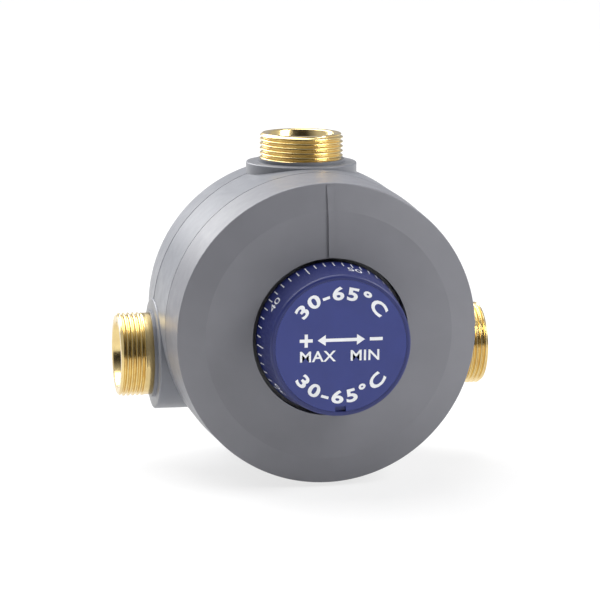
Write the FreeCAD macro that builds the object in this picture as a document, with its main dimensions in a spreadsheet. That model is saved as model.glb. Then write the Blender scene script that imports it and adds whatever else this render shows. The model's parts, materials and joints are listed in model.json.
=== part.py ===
import FreeCAD, Part
import os
import Sketcher
from types import SimpleNamespace

# Thermostatic mixing valve with G 1 1/4 male threads.
# Frame: +X to the cold side, -Y to the front, +Z up, millimetres.
# Origin: centre of the flat back face, on the axis of the drum and the knob.
# "Depth" is the distance in front of the back face, so depth = -Y.
# "Reach" is the distance from the drum's axis, along the axis of a port.

SIZES = [
    # drum and body casting
    ("drum_radius", 75.5, "drum radius at the plane of the ports"),
    ("back_draft", 1.8, "how much narrower the drum is at its back face, before rounding"),
    ("front_draft", 0.5, "how much narrower it is at the seam"),
    ("back_round", 8.0, "rounding of the drum's back edge"),
    ("port_depth", 33.0, "depth of the plane that holds the port axes"),
    ("seam_depth", 71.0, "depth of the cover's back edge"),
    ("drum_wall", 6.0, "wall of the drum at the seam"),
    ("back_wall", 7.0, "thickness of the back wall"),
    ("hub_wall", 5.0, "wall round the ring galleries"),
    ("hub_rise", 1.0, "how far the cartridge housing stands in front of the seam"),
    ("duct_wall", 4.45, "wall of the cast ducts"),
    ("boss_band", 6.0, "flat ring of a boss round its neck"),
    ("boss_rise", 0.5, "how far a boss face stands over the drum"),
    ("boss_sunk", 15.0, "how far a boss reaches inside the drum's wall"),
    ("boss_round", 0.8, "rounding of a boss edge"),
    ("neck_rim", 0.845, "low ring on the boss face, round the thread"),
    ("neck_height", 1.6, "height of that ring"),
    ("inlet_drop", 20.0, "inlet axis below the drum's axis"),
    # cartridge bore
    ("chamber_floor", 9.0, "depth of the mixing chamber's floor"),
    ("chamber_step", 3.0, "how much narrower the chamber is than the cartridge bore"),
    ("sleeve_wall", 3.9, "wall of the cartridge sleeve"),
    ("gallery_width", 10.0, "how far the ring galleries reach round the sleeve"),
    ("hot_behind", 6.0, "how far the hot gallery lies behind the port axes"),
    ("hot_gallery", 10.0, "length of the hot gallery"),
    ("back_land", 4.0, "land between the sleeve's back end and the hot gallery"),
    ("gallery_land", 5.0, "land between the galleries"),
    ("cold_gallery", 9.0, "length of the cold gallery"),
    ("front_land", 4.5, "land between the cold gallery and the sleeve's flange"),
    ("flange_thick", 2.0, "flange of the sleeve"),
    ("head_step", 4.0, "how much wider the hole for the bonnet's thread is"),
    ("fit", 0.05, "radial gap of parts that are screwed or pushed together"),
    ("running", 0.08, "radial gap of parts that slide or turn"),
    # spigots
    ("thread_radius", 20.955, "G 1 1/4 major radius"),
    ("inlet_thread", 13.2, "threaded length of an inlet"),
    ("inlet_land", 3.2, "plain land behind an inlet's thread"),
    ("outlet_thread", 12.7, "threaded length of the outlet"),
    ("thread_chamfer", 1.2, "chamfer of the spigot's end"),
    ("spigot_wall", 4.805, "wall of a spigot, over the thread"),
    ("grip_step", 1.455, "how much thinner the shank in the boss is"),
    ("grip_length", 18.0, "length of the shank in the boss"),
    ("seal_back", 5.1, "how far the nipple's O-ring lies inside the neck"),
    ("nipple_seal", 0.85, "section radius of the nipple's O-ring"),
    # check valves and strainers
    ("plate", 1.0, "thickness of the strainer's flange"),
    ("cage_flange", 2.0, "thickness of the check valve's flange"),
    ("clamp_gap", 0.3, "how much narrower both flanges are than the shank"),
    ("cage_step", 2.0, "width of the flange round the check valve's barrel"),
    ("cage_wall", 2.0, "wall of the barrel"),
    ("cage_length", 14.5, "inside of the barrel, seat to inner end"),
    ("cage_room", 0.5, "gap behind the barrel"),
    ("seat_thick", 3.6, "thickness of the seat"),
    ("seat_radius", 11.5, "opening of the check valve"),
    ("seat_lap", 1.8, "how far the closing disc covers the seat"),
    ("poppet_plate", 2.0, "thickness of the disc"),
    ("nose_gap", 2.5, "how much narrower its guide nose is than the opening"),
    ("nose_height", 2.5, "height of the nose"),
    ("stem_radius", 2.0, "stem of the disc"),
    ("guide_wall", 5.0, "wall of the stem's guide ring"),
    ("guide_height", 2.0, "its height, and that of the spokes"),
    ("spoke_width", 2.4, "spokes of the check valve"),
    ("check_coil", 5.9, "mean radius of the check valve's spring"),
    ("check_wire", 0.5, "its wire radius"),
    ("duct_bore", 12.0, "duct behind the check valve"),
    ("duct_stop", 1.0, "wall between that duct's end and the galleries"),
    ("outlet_ledge", 1.5, "ledge under the outlet nipple"),
    ("outlet_stop", 5.0, "wall between the outlet duct's end and the galleries"),
    ("throat_half", 8.0, "half width of the passages to the galleries"),
    ("basket_gap", 3.05, "gap round the strainer's basket"),
    ("basket_wall", 0.6, "its wall"),
    ("basket_length", 13.0, "its length"),
    ("slot_width", 2.2, "slots of the basket"),
    # cartridge
    ("sleeve_inside", 19.05, "inside of the sleeve"),
    ("window_half", 5.0, "half width of a window"),
    ("window_inset", 1.5, "distance of a window's edge from its gallery's end"),
    ("hot_window", 7.5, "length of the hot windows"),
    ("cold_window", 6.5, "length of the cold windows"),
    ("sleeve_seal", 1.0, "section radius of the sleeve's O-rings"),
    ("stroke", 4.0, "travel of the shuttle each way"),
    ("shuttle_wall", 2.0, "wall of the shuttle"),
    ("web_inset", 3.5, "distance of its spokes from its back edge"),
    ("web_thick", 4.0, "thickness of its spokes"),
    ("web_radius", 10.5, "its hub"),
    ("bulb_room", 1.5, "gap left behind the capsule when it is right back"),
    ("bulb_radius", 8.0, "capsule"),
    ("collar_step", 2.0, "collar of the capsule"),
    ("collar_thick", 3.0, "its thickness"),
    ("neck_of_bulb", 6.0, "threaded neck of the capsule"),
    ("neck_over", 1.5, "how far the neck stands out of its nut"),
    ("pin_radius", 2.2, "push pin"),
    ("pin_floor", 7.5, "wax behind the pin's hole"),
    ("pin_room", 8.0, "wax behind the pin's inner end"),
    ("nut_flats", 15.0, "capsule nut across flats"),
    ("nut_thick", 3.5, "its thickness"),
    ("return_gap", 1.0, "gap between the capsule's collar and the return spring"),
    ("return_wire", 1.2, "wire radius of the return spring"),
    # overload and adjustment
    ("cup_gap", 0.4, "gap round the overload cup"),
    ("cup_thick", 2.5, "its thickness"),
    ("pilot_gap", 1.2, "gap round its pilot in the spring"),
    ("pilot_height", 1.2, "height of that pilot"),
    ("clip_thick", 1.3, "snap ring"),
    ("clip_lap", 1.0, "how far the snap ring holds the cup"),
    ("clip_groove", 0.5, "depth of the snap ring's groove"),
    ("clip_wall_behind", 1.4, "carrier's edge behind the snap ring"),
    ("overload_gap", 1.2, "gap round the overload spring"),
    ("overload_wire", 0.8, "its wire radius"),
    ("overload_length", 9.0, "its length"),
    ("carrier_nut", 6.0, "threaded end of the carrier"),
    ("carrier_room", 4.0, "gap between the carrier and the spindle's collar"),
    ("carrier_wall", 2.9, "wall of the carrier"),
    ("carrier_inside", 10.0, "its inside"),
    ("key_height", 2.1, "how far the carrier's keys stand out"),
    ("key_width", 4.0, "width of a key"),
    ("key_back", 4.2, "distance of the keys from the carrier's back end"),
    ("key_front", 2.0, "distance of the keys from its front end"),
    # bonnet and spindle
    ("head_band", 3.0, "how far the bonnet's hexagon covers its hole"),
    ("head_thick", 6.0, "thickness of its hexagon"),
    ("post_wall", 4.1, "wall of the post that carries the cover"),
    ("nose_thread", 12.0, "thread for the cover nut"),
    ("nose_over", 1.0, "how far the bonnet's end stands out of the cover nut"),
    ("gland_length", 9.0, "distance of the spindle collar's seat from the cover"),
    ("bonnet_seal", 0.9, "section radius of the bonnet's O-ring"),
    ("bonnet_seal_in", 3.0, "its distance from the bonnet's inner end"),
    ("spindle_radius", 5.0, "spindle"),
    ("spindle_in", 4.0, "how far the spindle reaches through the carrier's nut"),
    ("collar_width", 3.0, "width of its collar"),
    ("collar_length", 4.0, "thickness of its collar"),
    ("spindle_short", 0.5, "how far the spindle ends behind the knob's web"),
    ("flat_cut", 1.2, "depth of the flat that drives the knob"),
    ("spindle_seal", 0.75, "section radius of the spindle's O-ring"),
    ("spindle_seal_in", 7.0, "its distance from the collar's seat"),
    # cover
    ("gasket", 0.8, "thickness of the gasket"),
    ("gasket_edge", 0.5, "how far the gasket stays inside the rim"),
    ("cover_draft", 1.5, "how much narrower the cover is at its front edge"),
    ("cover_side", 27.7, "length of the cover's side"),
    ("cover_round", 0.7, "rounding of its front edge"),
    ("inner_band", 22.2, "width of the front's flatter inner ring"),
    ("outer_slope", 4.0, "how far the outer ring of the front rises"),
    ("inner_slope", 2.8, "how far the inner ring rises"),
    ("knob_ring", 1.9, "gap round the knob"),
    ("cover_wall", 4.0, "wall of the cover"),
    ("lip_height", 4.0, "lip that centres the cover in the drum"),
    ("lip_gap", 0.2, "gap round that lip"),
    ("lip_wall", 3.0, "thickness of that lip"),
    ("rib_width", 3.1, "index rib"),
    ("rib_height", 0.8, "how far it stands out"),
    ("nut_band", 5.0, "cover nut, thread to flat"),
    ("cover_nut_thick", 5.0, "its thickness"),
    # knob
    ("skirt_radius", 36.4, "knob at its back edge"),
    ("skirt_sunk", 1.5, "how far that edge lies inside the cover"),
    ("skirt_room", 7.0, "gap behind that edge"),
    ("skirt_draft", 2.6, "how much narrower the knob is at its face"),
    ("knob_length", 23.0, "length of the knob"),
    ("face_round", 1.4, "rounding of the face"),
    ("knob_wall", 2.8, "wall of the skirt"),
    ("knob_web", 4.0, "thickness of the knob's web"),
    ("hub_room", 1.5, "gap between the knob's hub and the bonnet"),
    ("knob_hub", 4.0, "wall of the hub on the spindle"),
    ("face_band", 2.2, "rim of the face round the cap"),
    ("cap_gap", 0.1, "gap round the cap"),
    ("cap_thick", 2.0, "its thickness"),
    ("cap_seat", 1.4, "ledge under the cap"),
    ("well_depth", 7.0, "depth of the well under the cap"),
    ("clip_height", 2.6, "height of the cap's clip ring"),
    ("clip_wall", 1.4, "its wall"),
    ("pry_width", 5.2, "pry slot"),
    ("pry_height", 2.6, "its height"),
    ("screw_radius", 2.5, "knob screw"),
    ("screw_length", 11.0, "its length under the head"),
    ("screw_head", 4.6, "radius of its head"),
    ("head_height", 3.0, "height of its head"),
]

HOT, COLD, OUTLET = "hot", "cold", "outlet"
WIRE_SIDES = 6  # a spring's wire is drawn six-sided
CIRCLE_START = 0.9  # radians; keeps a cylinder's seam off the planes of symmetry


class Size:
    """A length, kept with the sheet expression that gives it."""

    def __init__(self, value, text):
        self.value = float(value)
        self.text = text

    @staticmethod
    def of(number):
        if isinstance(number, Size):
            return number
        return Size(number, repr(float(number)))

    def join(self, sign, other, value):
        return Size(value, "({} {} {})".format(self.text, sign, other.text))

    def __add__(self, other):
        other = Size.of(other)
        return self.join("+", other, self.value + other.value)

    def __sub__(self, other):
        other = Size.of(other)
        return self.join("-", other, self.value - other.value)

    def __mul__(self, other):
        other = Size.of(other)
        return self.join("*", other, self.value * other.value)

    def __truediv__(self, other):
        other = Size.of(other)
        return self.join("/", other, self.value / other.value)

    def __neg__(self):
        return Size(-self.value, "-{}".format(self.text))


doc = FreeCAD.newDocument("MixingValve")
sheet = doc.addObject("Spreadsheet::Sheet", "Sizes")
S = SimpleNamespace()
for row, (name, value, note) in enumerate(SIZES, start=1):
    sheet.set("A{}".format(row), name)
    sheet.set("B{}".format(row), str(value))
    sheet.set("C{}".format(row), note)
    sheet.setAlias("B{}".format(row), name)
    setattr(S, name, Size(value, "Sizes." + name))
doc.recompute()

# ------------------------------------------ places that follow from the sizes

# drum
S.drum_back = S.drum_radius - S.back_draft
S.drum_front = S.drum_radius - S.front_draft
S.cavity_radius = S.drum_front - S.drum_wall
S.boss_reach = S.drum_radius + S.boss_rise
S.boss_root = S.cavity_radius - S.boss_sunk
S.neck_radius = S.thread_radius + S.neck_rim
S.boss_radius = S.neck_radius + S.boss_band

# cartridge bore and sleeve, from the back
S.bore_radius = S.sleeve_inside + S.sleeve_wall + S.fit
S.chamber_radius = S.bore_radius - S.chamber_step
S.gallery_radius = S.bore_radius + S.gallery_width
S.hub_radius = S.gallery_radius + S.hub_wall
S.head_radius = S.bore_radius + S.head_step
S.hot_back = S.port_depth - S.hot_behind
S.sleeve_back = S.hot_back - S.back_land
S.hot_front = S.hot_back + S.hot_gallery
S.cold_back = S.hot_front + S.gallery_land
S.cold_front = S.cold_back + S.cold_gallery
S.flange_back = S.cold_front + S.front_land
S.flange_front = S.flange_back + S.flange_thick
S.hub_depth = S.seam_depth + S.hub_rise
S.hot_window_back = S.hot_back + S.window_inset
S.cold_window_front = S.cold_front - S.window_inset

# spigots, check valves and strainers, from the boss face inwards
S.neck_reach = S.boss_reach + S.neck_height
S.inlet_reach = S.neck_reach + S.inlet_land + S.inlet_thread
S.outlet_reach = S.neck_reach + S.outlet_thread
S.spigot_bore = S.thread_radius - S.spigot_wall
S.grip_radius = S.thread_radius - S.grip_step
S.grip_hole = S.grip_radius + S.fit
S.duct_radius = S.grip_hole + S.duct_wall
S.grip_end = S.neck_reach - S.grip_length
S.seal_reach = S.neck_reach - S.seal_back
S.clamp_radius = S.grip_radius - S.clamp_gap
S.flange_reach = S.grip_end - S.plate
S.clamp_reach = S.flange_reach - S.cage_flange
S.cage_radius = S.clamp_radius - S.cage_step
S.cage_inside = S.cage_radius - S.cage_wall
S.seat_reach = S.flange_reach - S.seat_thick
S.cage_end = S.seat_reach - S.cage_length
S.cage_room_end = S.cage_end - S.cage_room
S.poppet_radius = S.seat_radius + S.seat_lap
S.nose_radius = S.seat_radius - S.nose_gap
S.guide_radius = S.stem_radius + S.guide_wall
S.basket_radius = S.spigot_bore - S.basket_gap
S.basket_reach = S.grip_end + S.basket_length
S.duct_end = S.gallery_radius + S.duct_stop
S.outlet_end = S.gallery_radius + S.outlet_stop
S.outlet_duct = S.grip_hole - S.outlet_ledge

# shuttle half way: hot shut when it is right back, cold shut when it is right forward
S.shuttle_back = S.hot_window_back + S.stroke
S.shuttle_front = S.cold_window_front - S.stroke
S.web_depth = S.shuttle_back + S.web_inset
S.neck_front = S.web_depth + S.web_thick + S.nut_thick + S.neck_over
S.bulb_back = S.chamber_floor + S.stroke + S.bulb_room
S.collar_radius = S.bulb_radius + S.collar_step
S.pin_floor_depth = S.bulb_back + S.pin_floor
S.pin_back = S.pin_floor_depth + S.pin_room
S.return_coil = S.collar_radius + S.return_gap + S.return_wire

# cover, from the seam
S.cover_edge = S.drum_front - S.cover_draft
S.cover_edge_depth = S.seam_depth + S.cover_side
S.hole_radius = S.skirt_radius + S.knob_ring
S.ring_radius = S.hole_radius + S.inner_band
S.ring_depth = S.cover_edge_depth + S.outer_slope
S.hole_depth = S.ring_depth + S.inner_slope
S.skirt_depth = S.hole_depth - S.skirt_sunk
S.floor_front = S.skirt_depth - S.skirt_room
S.post_depth = S.floor_front - S.cover_wall
S.cover_flats = (S.nose_thread + S.nut_band) * 2

# bonnet, spindle and carrier, from the cover inwards
S.nose_depth = S.floor_front + S.cover_nut_thick + S.nose_over
S.bonnet_floor = S.post_depth - S.gland_length
S.collar_back = S.bonnet_floor - S.collar_length
S.spindle_collar = S.spindle_radius + S.collar_width
S.spindle_seal_at = S.bonnet_floor + S.spindle_seal_in
S.bonnet_seal_at = S.flange_front + S.bonnet_seal_in
S.head_flats = (S.head_radius + S.head_band) * 2
S.carrier_front = S.collar_back - S.carrier_room
S.carrier_floor = S.carrier_front - S.carrier_nut
S.carrier_radius = S.carrier_inside + S.carrier_wall
S.post_radius = S.carrier_radius + S.post_wall
S.key_reach = S.carrier_radius + S.key_height
S.spindle_back = S.carrier_floor - S.spindle_in
S.cup_back = S.carrier_floor - S.overload_length - S.cup_thick
S.clip_back = S.cup_back - S.clip_thick
S.carrier_back = S.clip_back - S.clip_wall_behind
S.cup_radius = S.carrier_inside - S.cup_gap
S.clip_inside = S.cup_radius - S.clip_lap
S.overload_coil = S.carrier_inside - S.overload_gap - S.overload_wire
S.cup_pilot = S.overload_coil - S.overload_wire - S.pilot_gap

# knob
S.face_depth = S.skirt_depth + S.knob_length
S.face_radius = S.skirt_radius - S.skirt_draft
S.web_front = S.face_depth - S.well_depth
S.web_back = S.web_front - S.knob_web
S.flat_back = S.nose_depth + S.hub_room
S.hub_of_knob = S.spindle_radius + S.knob_hub
S.spindle_end = S.web_front - S.spindle_short
S.spindle_flat = S.spindle_radius - S.flat_cut
S.screw_back = S.web_front - S.screw_length
S.cap_radius = S.face_radius - S.face_band
S.well_radius = S.cap_radius - S.cap_seat


def bind(thing, prop, size):
    """Drive a property by the sheet."""
    thing.setExpression(prop, Size.of(size).text)


# ---------------------------------------------------------------- sketches

def new_body(label):
    body = doc.addObject("PartDesign::Body", label)
    body.Label = label
    return body


def origin_feature(body, role):
    return next(item for item in body.Origin.OriginFeatures if item.Role == role)


def new_sketch(body, plane, level=None):
    """Sketch on one of the body's own planes, moved along its normal to level."""
    sketch = body.newObject("Sketcher::SketchObject", body.Name + "_sketch")
    sketch.AttachmentSupport = (origin_feature(body, plane), [""])
    sketch.MapMode = "FlatFace"
    if level is not None:
        bind(sketch, "AttachmentOffset.Base.z", level)
    return sketch


def hold_point(sketch, item, end, across, up):
    """Fix a point at a place given by two sizes."""
    for kind, size, axis in (("DistanceX", across, -2), ("DistanceY", up, -1)):
        size = Size.of(size)
        if abs(size.value) < 1e-9:
            sketch.addConstraint(Sketcher.Constraint("PointOnObject", item, end, axis))
        elif size.value > 0:
            rule = Sketcher.Constraint(kind, -1, 1, item, end, size.value)
            bind(sketch, "Constraints[{}]".format(sketch.addConstraint(rule)), size)
        else:
            rule = Sketcher.Constraint(kind, item, end, -1, 1, -size.value)
            bind(sketch, "Constraints[{}]".format(sketch.addConstraint(rule)), -size)


def draw_outline(sketch, corners):
    """Closed outline with straight sides; a corner is two sizes."""
    spots = [FreeCAD.Vector(Size.of(x).value, Size.of(y).value, 0) for x, y in corners]
    sides = [sketch.addGeometry(Part.LineSegment(spot, spots[(i + 1) % len(spots)]), False)
             for i, spot in enumerate(spots)]
    for i, side in enumerate(sides):
        after = sides[(i + 1) % len(sides)]
        sketch.addConstraint(Sketcher.Constraint("Coincident", side, 2, after, 1))
    for side, (x, y) in zip(sides, corners):
        hold_point(sketch, side, 1, x, y)


def draw_circle(sketch, across, up, radius):
    centre = FreeCAD.Vector(Size.of(across).value, Size.of(up).value, 0)
    ring = Part.Circle(centre, FreeCAD.Vector(0, 0, 1), radius.value)
    ring.AngleXU = CIRCLE_START
    item = sketch.addGeometry(ring, False)
    hold_point(sketch, item, 3, across, up)
    rule = Sketcher.Constraint("Radius", item, radius.value)
    bind(sketch, "Constraints[{}]".format(sketch.addConstraint(rule)), radius)


def draw_box(sketch, left, right, low, high):
    draw_outline(sketch, [(left, low), (right, low), (right, high), (left, high)])


def draw_hexagon(sketch, flats):
    """Regular hexagon about the sketch's origin, two flats upright."""
    half = flats / 2
    corner = flats / 3 ** 0.5
    draw_outline(sketch, [(half, -corner / 2), (half, corner / 2), (0, corner),
                          (-half, corner / 2), (-half, -corner / 2), (0, -corner)])


# ---------------------------------------------------------------- features

def turn(body, plane, corners, kind="Revolution"):
    """Turn an outline about the upright axis of its sketch."""
    sketch = new_sketch(body, plane)
    draw_outline(sketch, corners)
    feature = body.newObject("PartDesign::" + kind, body.Name + "_turned")
    feature.Profile = sketch
    feature.ReferenceAxis = (sketch, ["V_Axis"])
    feature.Angle = 360
    sketch.Visibility = False
    return feature


def turn_deep(body, corners, kind="Revolution"):
    """Turn about the drum's axis; a corner is a radius and a depth."""
    return turn(body, "XY_Plane", [(radius, -Size.of(depth)) for radius, depth in corners], kind)


def turn_port(body, corners, kind="Revolution"):
    """Turn about the body's own Z; a corner is a radius and a reach."""
    return turn(body, "XZ_Plane", corners, kind)


def extrude(body, kind, plane, low, high, draw, *sizes):
    """Pad or pocket between two levels along the plane's normal."""
    sketch = new_sketch(body, plane, low if kind == "Pad" else high)
    draw(sketch, *sizes)
    feature = body.newObject("PartDesign::" + kind, body.Name + "_" + kind.lower())
    feature.Profile = sketch
    bind(feature, "Length", Size.of(high) - Size.of(low))
    sketch.Visibility = False
    return feature


def ring_of(body, feature, count, role):
    """Repeat a feature evenly round one of the body's axes."""
    pattern = body.newObject("PartDesign::PolarPattern", body.Name + "_pattern")
    pattern.Originals = [feature]
    pattern.Axis = (origin_feature(body, role), [""])
    pattern.Angle = 360
    pattern.Occurrences = count
    body.Tip = pattern
    return pattern


def round_edges(body, size, wanted):
    """Round the circular edges that the test picks."""
    doc.recompute()
    base = body.Tip
    names = ["Edge{}".format(i) for i, edge in enumerate(base.Shape.Edges, start=1)
             if isinstance(edge.Curve, Part.Circle) and wanted(edge)]
    fillet = body.newObject("PartDesign::Fillet", body.Name + "_round")
    fillet.Base = (base, names)
    bind(fillet, "Radius", size)
    body.Tip = fillet


def same(a, b):
    return abs(a - b) < 1e-4


def deep_edge(radius, depth):
    """Test for a circle round the drum's axis."""
    return lambda edge: (same(edge.Curve.Radius, radius.value)
                         and same(edge.Curve.Center.y, -depth.value)
                         and same(abs(edge.Curve.Axis.y), 1))


# ------------------------------------------------------------------ places

def put_on_port(thing, port):
    """Stand a piece on a port's axis, its own +Z pointing outwards."""
    angle = {HOT: -90, COLD: 90, OUTLET: 0}[port]
    thing.Placement = FreeCAD.Placement(FreeCAD.Vector(0, 0, 0),
                                        FreeCAD.Rotation(FreeCAD.Vector(0, 1, 0), angle))
    bind(thing, "Placement.Base.y", -S.port_depth)
    if port != OUTLET:
        bind(thing, "Placement.Base.z", -S.inlet_drop)


def o_ring(name, centre_radius, section, at, port=None):
    """O-ring round the drum's axis at a depth, or round a port's axis at a reach."""
    ring = doc.addObject("Part::Torus", name)
    bind(ring, "Radius1", centre_radius)
    bind(ring, "Radius2", section)
    if port is None:
        turn_x = FreeCAD.Rotation(FreeCAD.Vector(1, 0, 0), 90)
        ring.Placement = FreeCAD.Placement(FreeCAD.Vector(0, 0, 0), turn_x)
        bind(ring, "Placement.Base.y", -at)
        return ring
    put_on_port(ring, port)
    if port == HOT:
        bind(ring, "Placement.Base.x", -at)
    elif port == COLD:
        bind(ring, "Placement.Base.x", at)
    else:
        bind(ring, "Placement.Base.z", at)
    return ring


def coil(label, radius, wire, start, end, turns, port=None):
    """Coil spring between two depths, or between two reaches of a port."""
    helix = doc.addObject("Part::Helix", label + "_path")
    bind(helix, "Radius", radius)
    bind(helix, "Height", end - start - wire * 2)
    bind(helix, "Pitch", (end - start - wire * 2) / turns)
    section = doc.addObject("Part::RegularPolygon", label + "_wire")
    section.Polygon = WIRE_SIDES
    bind(section, "Circumradius", wire)
    section.Placement = FreeCAD.Placement(FreeCAD.Vector(0, 0, 0),
                                          FreeCAD.Rotation(FreeCAD.Vector(1, 0, 0), 90))
    bind(section, "Placement.Base.x", radius)
    spring = doc.addObject("Part::Sweep", label)
    spring.Sections = [section]
    spring.Spine = (helix, ["Edge1"])
    spring.Solid = True
    spring.Frenet = True
    spring.Label = label
    first = start + wire
    if port is None:
        turn_x = FreeCAD.Rotation(FreeCAD.Vector(1, 0, 0), 90)
        spring.Placement = FreeCAD.Placement(FreeCAD.Vector(0, 0, 0), turn_x)
        bind(spring, "Placement.Base.y", -first)
        return spring
    put_on_port(spring, port)
    bind(spring, "Placement.Base.x", -first if port == HOT else first)
    return spring


def together(label, members):
    group = doc.addObject("Part::Compound", label)
    group.Links = members
    group.Label = label
    return group


# -------------------------------------------------------------- body casting

rim_depth = S.seam_depth - S.gasket


def make_valve_body():
    body = new_body("valve_body")
    turn_deep(body, [(0, 0), (S.drum_back, 0), (S.drum_radius, S.port_depth),
                     (S.drum_front, rim_depth), (S.hub_radius, rim_depth),
                     (S.hub_radius, S.hub_depth), (0, S.hub_depth)])
    round_edges(body, S.back_round, deep_edge(S.drum_back, Size.of(0)))
    level = (-S.port_depth, -S.inlet_drop)
    upright = (Size.of(0), -S.port_depth)
    for radius, root, end in ((S.boss_radius, S.boss_root, S.boss_reach),
                              (S.neck_radius, S.boss_reach, S.neck_reach)):
        extrude(body, "Pad", "YZ_Plane", -end, -root, draw_circle, *level, radius)
        extrude(body, "Pad", "YZ_Plane", root, end, draw_circle, *level, radius)
        extrude(body, "Pad", "XY_Plane", root, end, draw_circle, *upright, radius)
    # dry space round the cartridge housing, crossed by the cast ducts
    turn_deep(body, [(S.hub_radius, S.back_wall), (S.cavity_radius, S.back_wall),
                     (S.cavity_radius, S.hub_depth + 1), (S.hub_radius, S.hub_depth + 1)],
              "Groove")
    duct_reach = S.cavity_radius + 2
    extrude(body, "Pad", "YZ_Plane", -duct_reach, duct_reach,
            draw_circle, *level, S.duct_radius)
    extrude(body, "Pad", "XY_Plane", Size.of(0), duct_reach,
            draw_circle, *upright, S.duct_radius)
    round_edges(body, S.boss_round, lambda edge: (
        same(edge.Curve.Radius, S.boss_radius.value)
        and same(max(abs(edge.Curve.Center.x), edge.Curve.Center.z), S.boss_reach.value)))
    # inlets: thread hole, check valve hole, duct
    for radius, inner, outer in ((S.grip_hole, S.clamp_reach, S.neck_reach),
                                 (S.cage_radius + S.fit, S.cage_room_end, S.clamp_reach),
                                 (S.duct_bore, S.duct_end, S.cage_room_end)):
        extrude(body, "Pocket", "YZ_Plane", -outer, -inner, draw_circle, *level, radius)
        extrude(body, "Pocket", "YZ_Plane", inner, outer, draw_circle, *level, radius)
    for radius, inner, outer in ((S.grip_hole, S.grip_end, S.neck_reach),
                                 (S.outlet_duct, S.outlet_end, S.grip_end)):
        extrude(body, "Pocket", "XY_Plane", inner, outer, draw_circle, *upright, radius)
    # cartridge bore with its two ring galleries
    turn_deep(body, [(0, S.chamber_floor), (S.chamber_radius, S.chamber_floor),
                     (S.chamber_radius, S.sleeve_back), (S.bore_radius, S.sleeve_back),
                     (S.bore_radius, S.hot_back), (S.gallery_radius, S.hot_back),
                     (S.gallery_radius, S.hot_front), (S.bore_radius, S.hot_front),
                     (S.bore_radius, S.cold_back), (S.gallery_radius, S.cold_back),
                     (S.gallery_radius, S.cold_front), (S.bore_radius, S.cold_front),
                     (S.bore_radius, S.flange_back), (S.head_radius, S.flange_back),
                     (S.head_radius, S.hub_depth + 1), (0, S.hub_depth + 1)], "Groove")
    # passages: hot straight in, cold stepped forwards, mixed water up and forwards
    low = -S.inlet_drop - S.throat_half
    high = -S.inlet_drop + S.throat_half
    extrude(body, "Pocket", "XZ_Plane", S.hot_back, S.hot_front,
            draw_box, -S.duct_end - 1, -S.throat_half, low, high)
    extrude(body, "Pocket", "XZ_Plane", S.cold_back, S.cold_front,
            draw_box, S.throat_half, S.cage_room_end, low, high)
    extrude(body, "Pocket", "XZ_Plane", S.port_depth, S.cold_front,
            draw_box, S.duct_end - 1, S.cage_room_end, low, high)
    extrude(body, "Pocket", "XZ_Plane", S.chamber_floor + 4, S.sleeve_back - 1,
            draw_box, -S.throat_half, S.throat_half, S.throat_half, S.outlet_end + 10)
    return body


def make_nipple(port):
    """Spigot: male thread outside the boss, plain shank with an O-ring inside it."""
    body = new_body(port + "_nipple")
    end = S.outlet_reach if port == OUTLET else S.inlet_reach
    floor = S.grip_hole - S.nipple_seal * 2
    root = S.neck_reach + S.inlet_land
    land = S.thread_radius - 0.35
    corners = [(S.spigot_bore, S.grip_end), (S.grip_radius, S.grip_end),
               (S.grip_radius, S.seal_reach - S.nipple_seal - 0.25),
               (floor, S.seal_reach - S.nipple_seal - 0.25),
               (floor, S.seal_reach + S.nipple_seal + 0.25),
               (S.grip_radius, S.seal_reach + S.nipple_seal + 0.25),
               (S.grip_radius, S.neck_reach)]
    if port == OUTLET:
        corners += [(S.thread_radius, S.neck_reach)]
    else:
        corners += [(land, S.neck_reach), (land, root), (S.thread_radius, root + 0.35)]
    corners += [(S.thread_radius, end - S.thread_chamfer),
                (S.thread_radius - S.thread_chamfer, end), (S.spigot_bore, end)]
    turn_port(body, corners)
    put_on_port(body, port)
    return body


def make_nipple_seals():
    middle = S.grip_hole - S.nipple_seal
    return together("nipple_seals", [
        o_ring(port + "_seal_ring", middle, S.nipple_seal, S.seal_reach, port)
        for port in (HOT, COLD, OUTLET)])


# --------------------------------------------------- strainers, check valves

def make_strainer(port):
    """Basket that points against the flow, its flange clamped by the nipple."""
    body = new_body(port + "_strainer")
    inner = S.basket_radius - S.basket_wall
    turn_port(body, [(inner, S.flange_reach), (S.clamp_radius, S.flange_reach),
                     (S.clamp_radius, S.grip_end), (S.basket_radius, S.grip_end),
                     (S.basket_radius, S.basket_reach), (0, S.basket_reach),
                     (0, S.basket_reach - S.basket_wall),
                     (inner, S.basket_reach - S.basket_wall)])
    slot = extrude(body, "Pocket", "YZ_Plane", Size.of(0), S.basket_radius + 1, draw_box,
                   -S.slot_width / 2, S.slot_width / 2, S.grip_end + 2, S.basket_reach - 2)
    ring_of(body, slot, 12, "Z_Axis")
    put_on_port(body, port)
    return body


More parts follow.
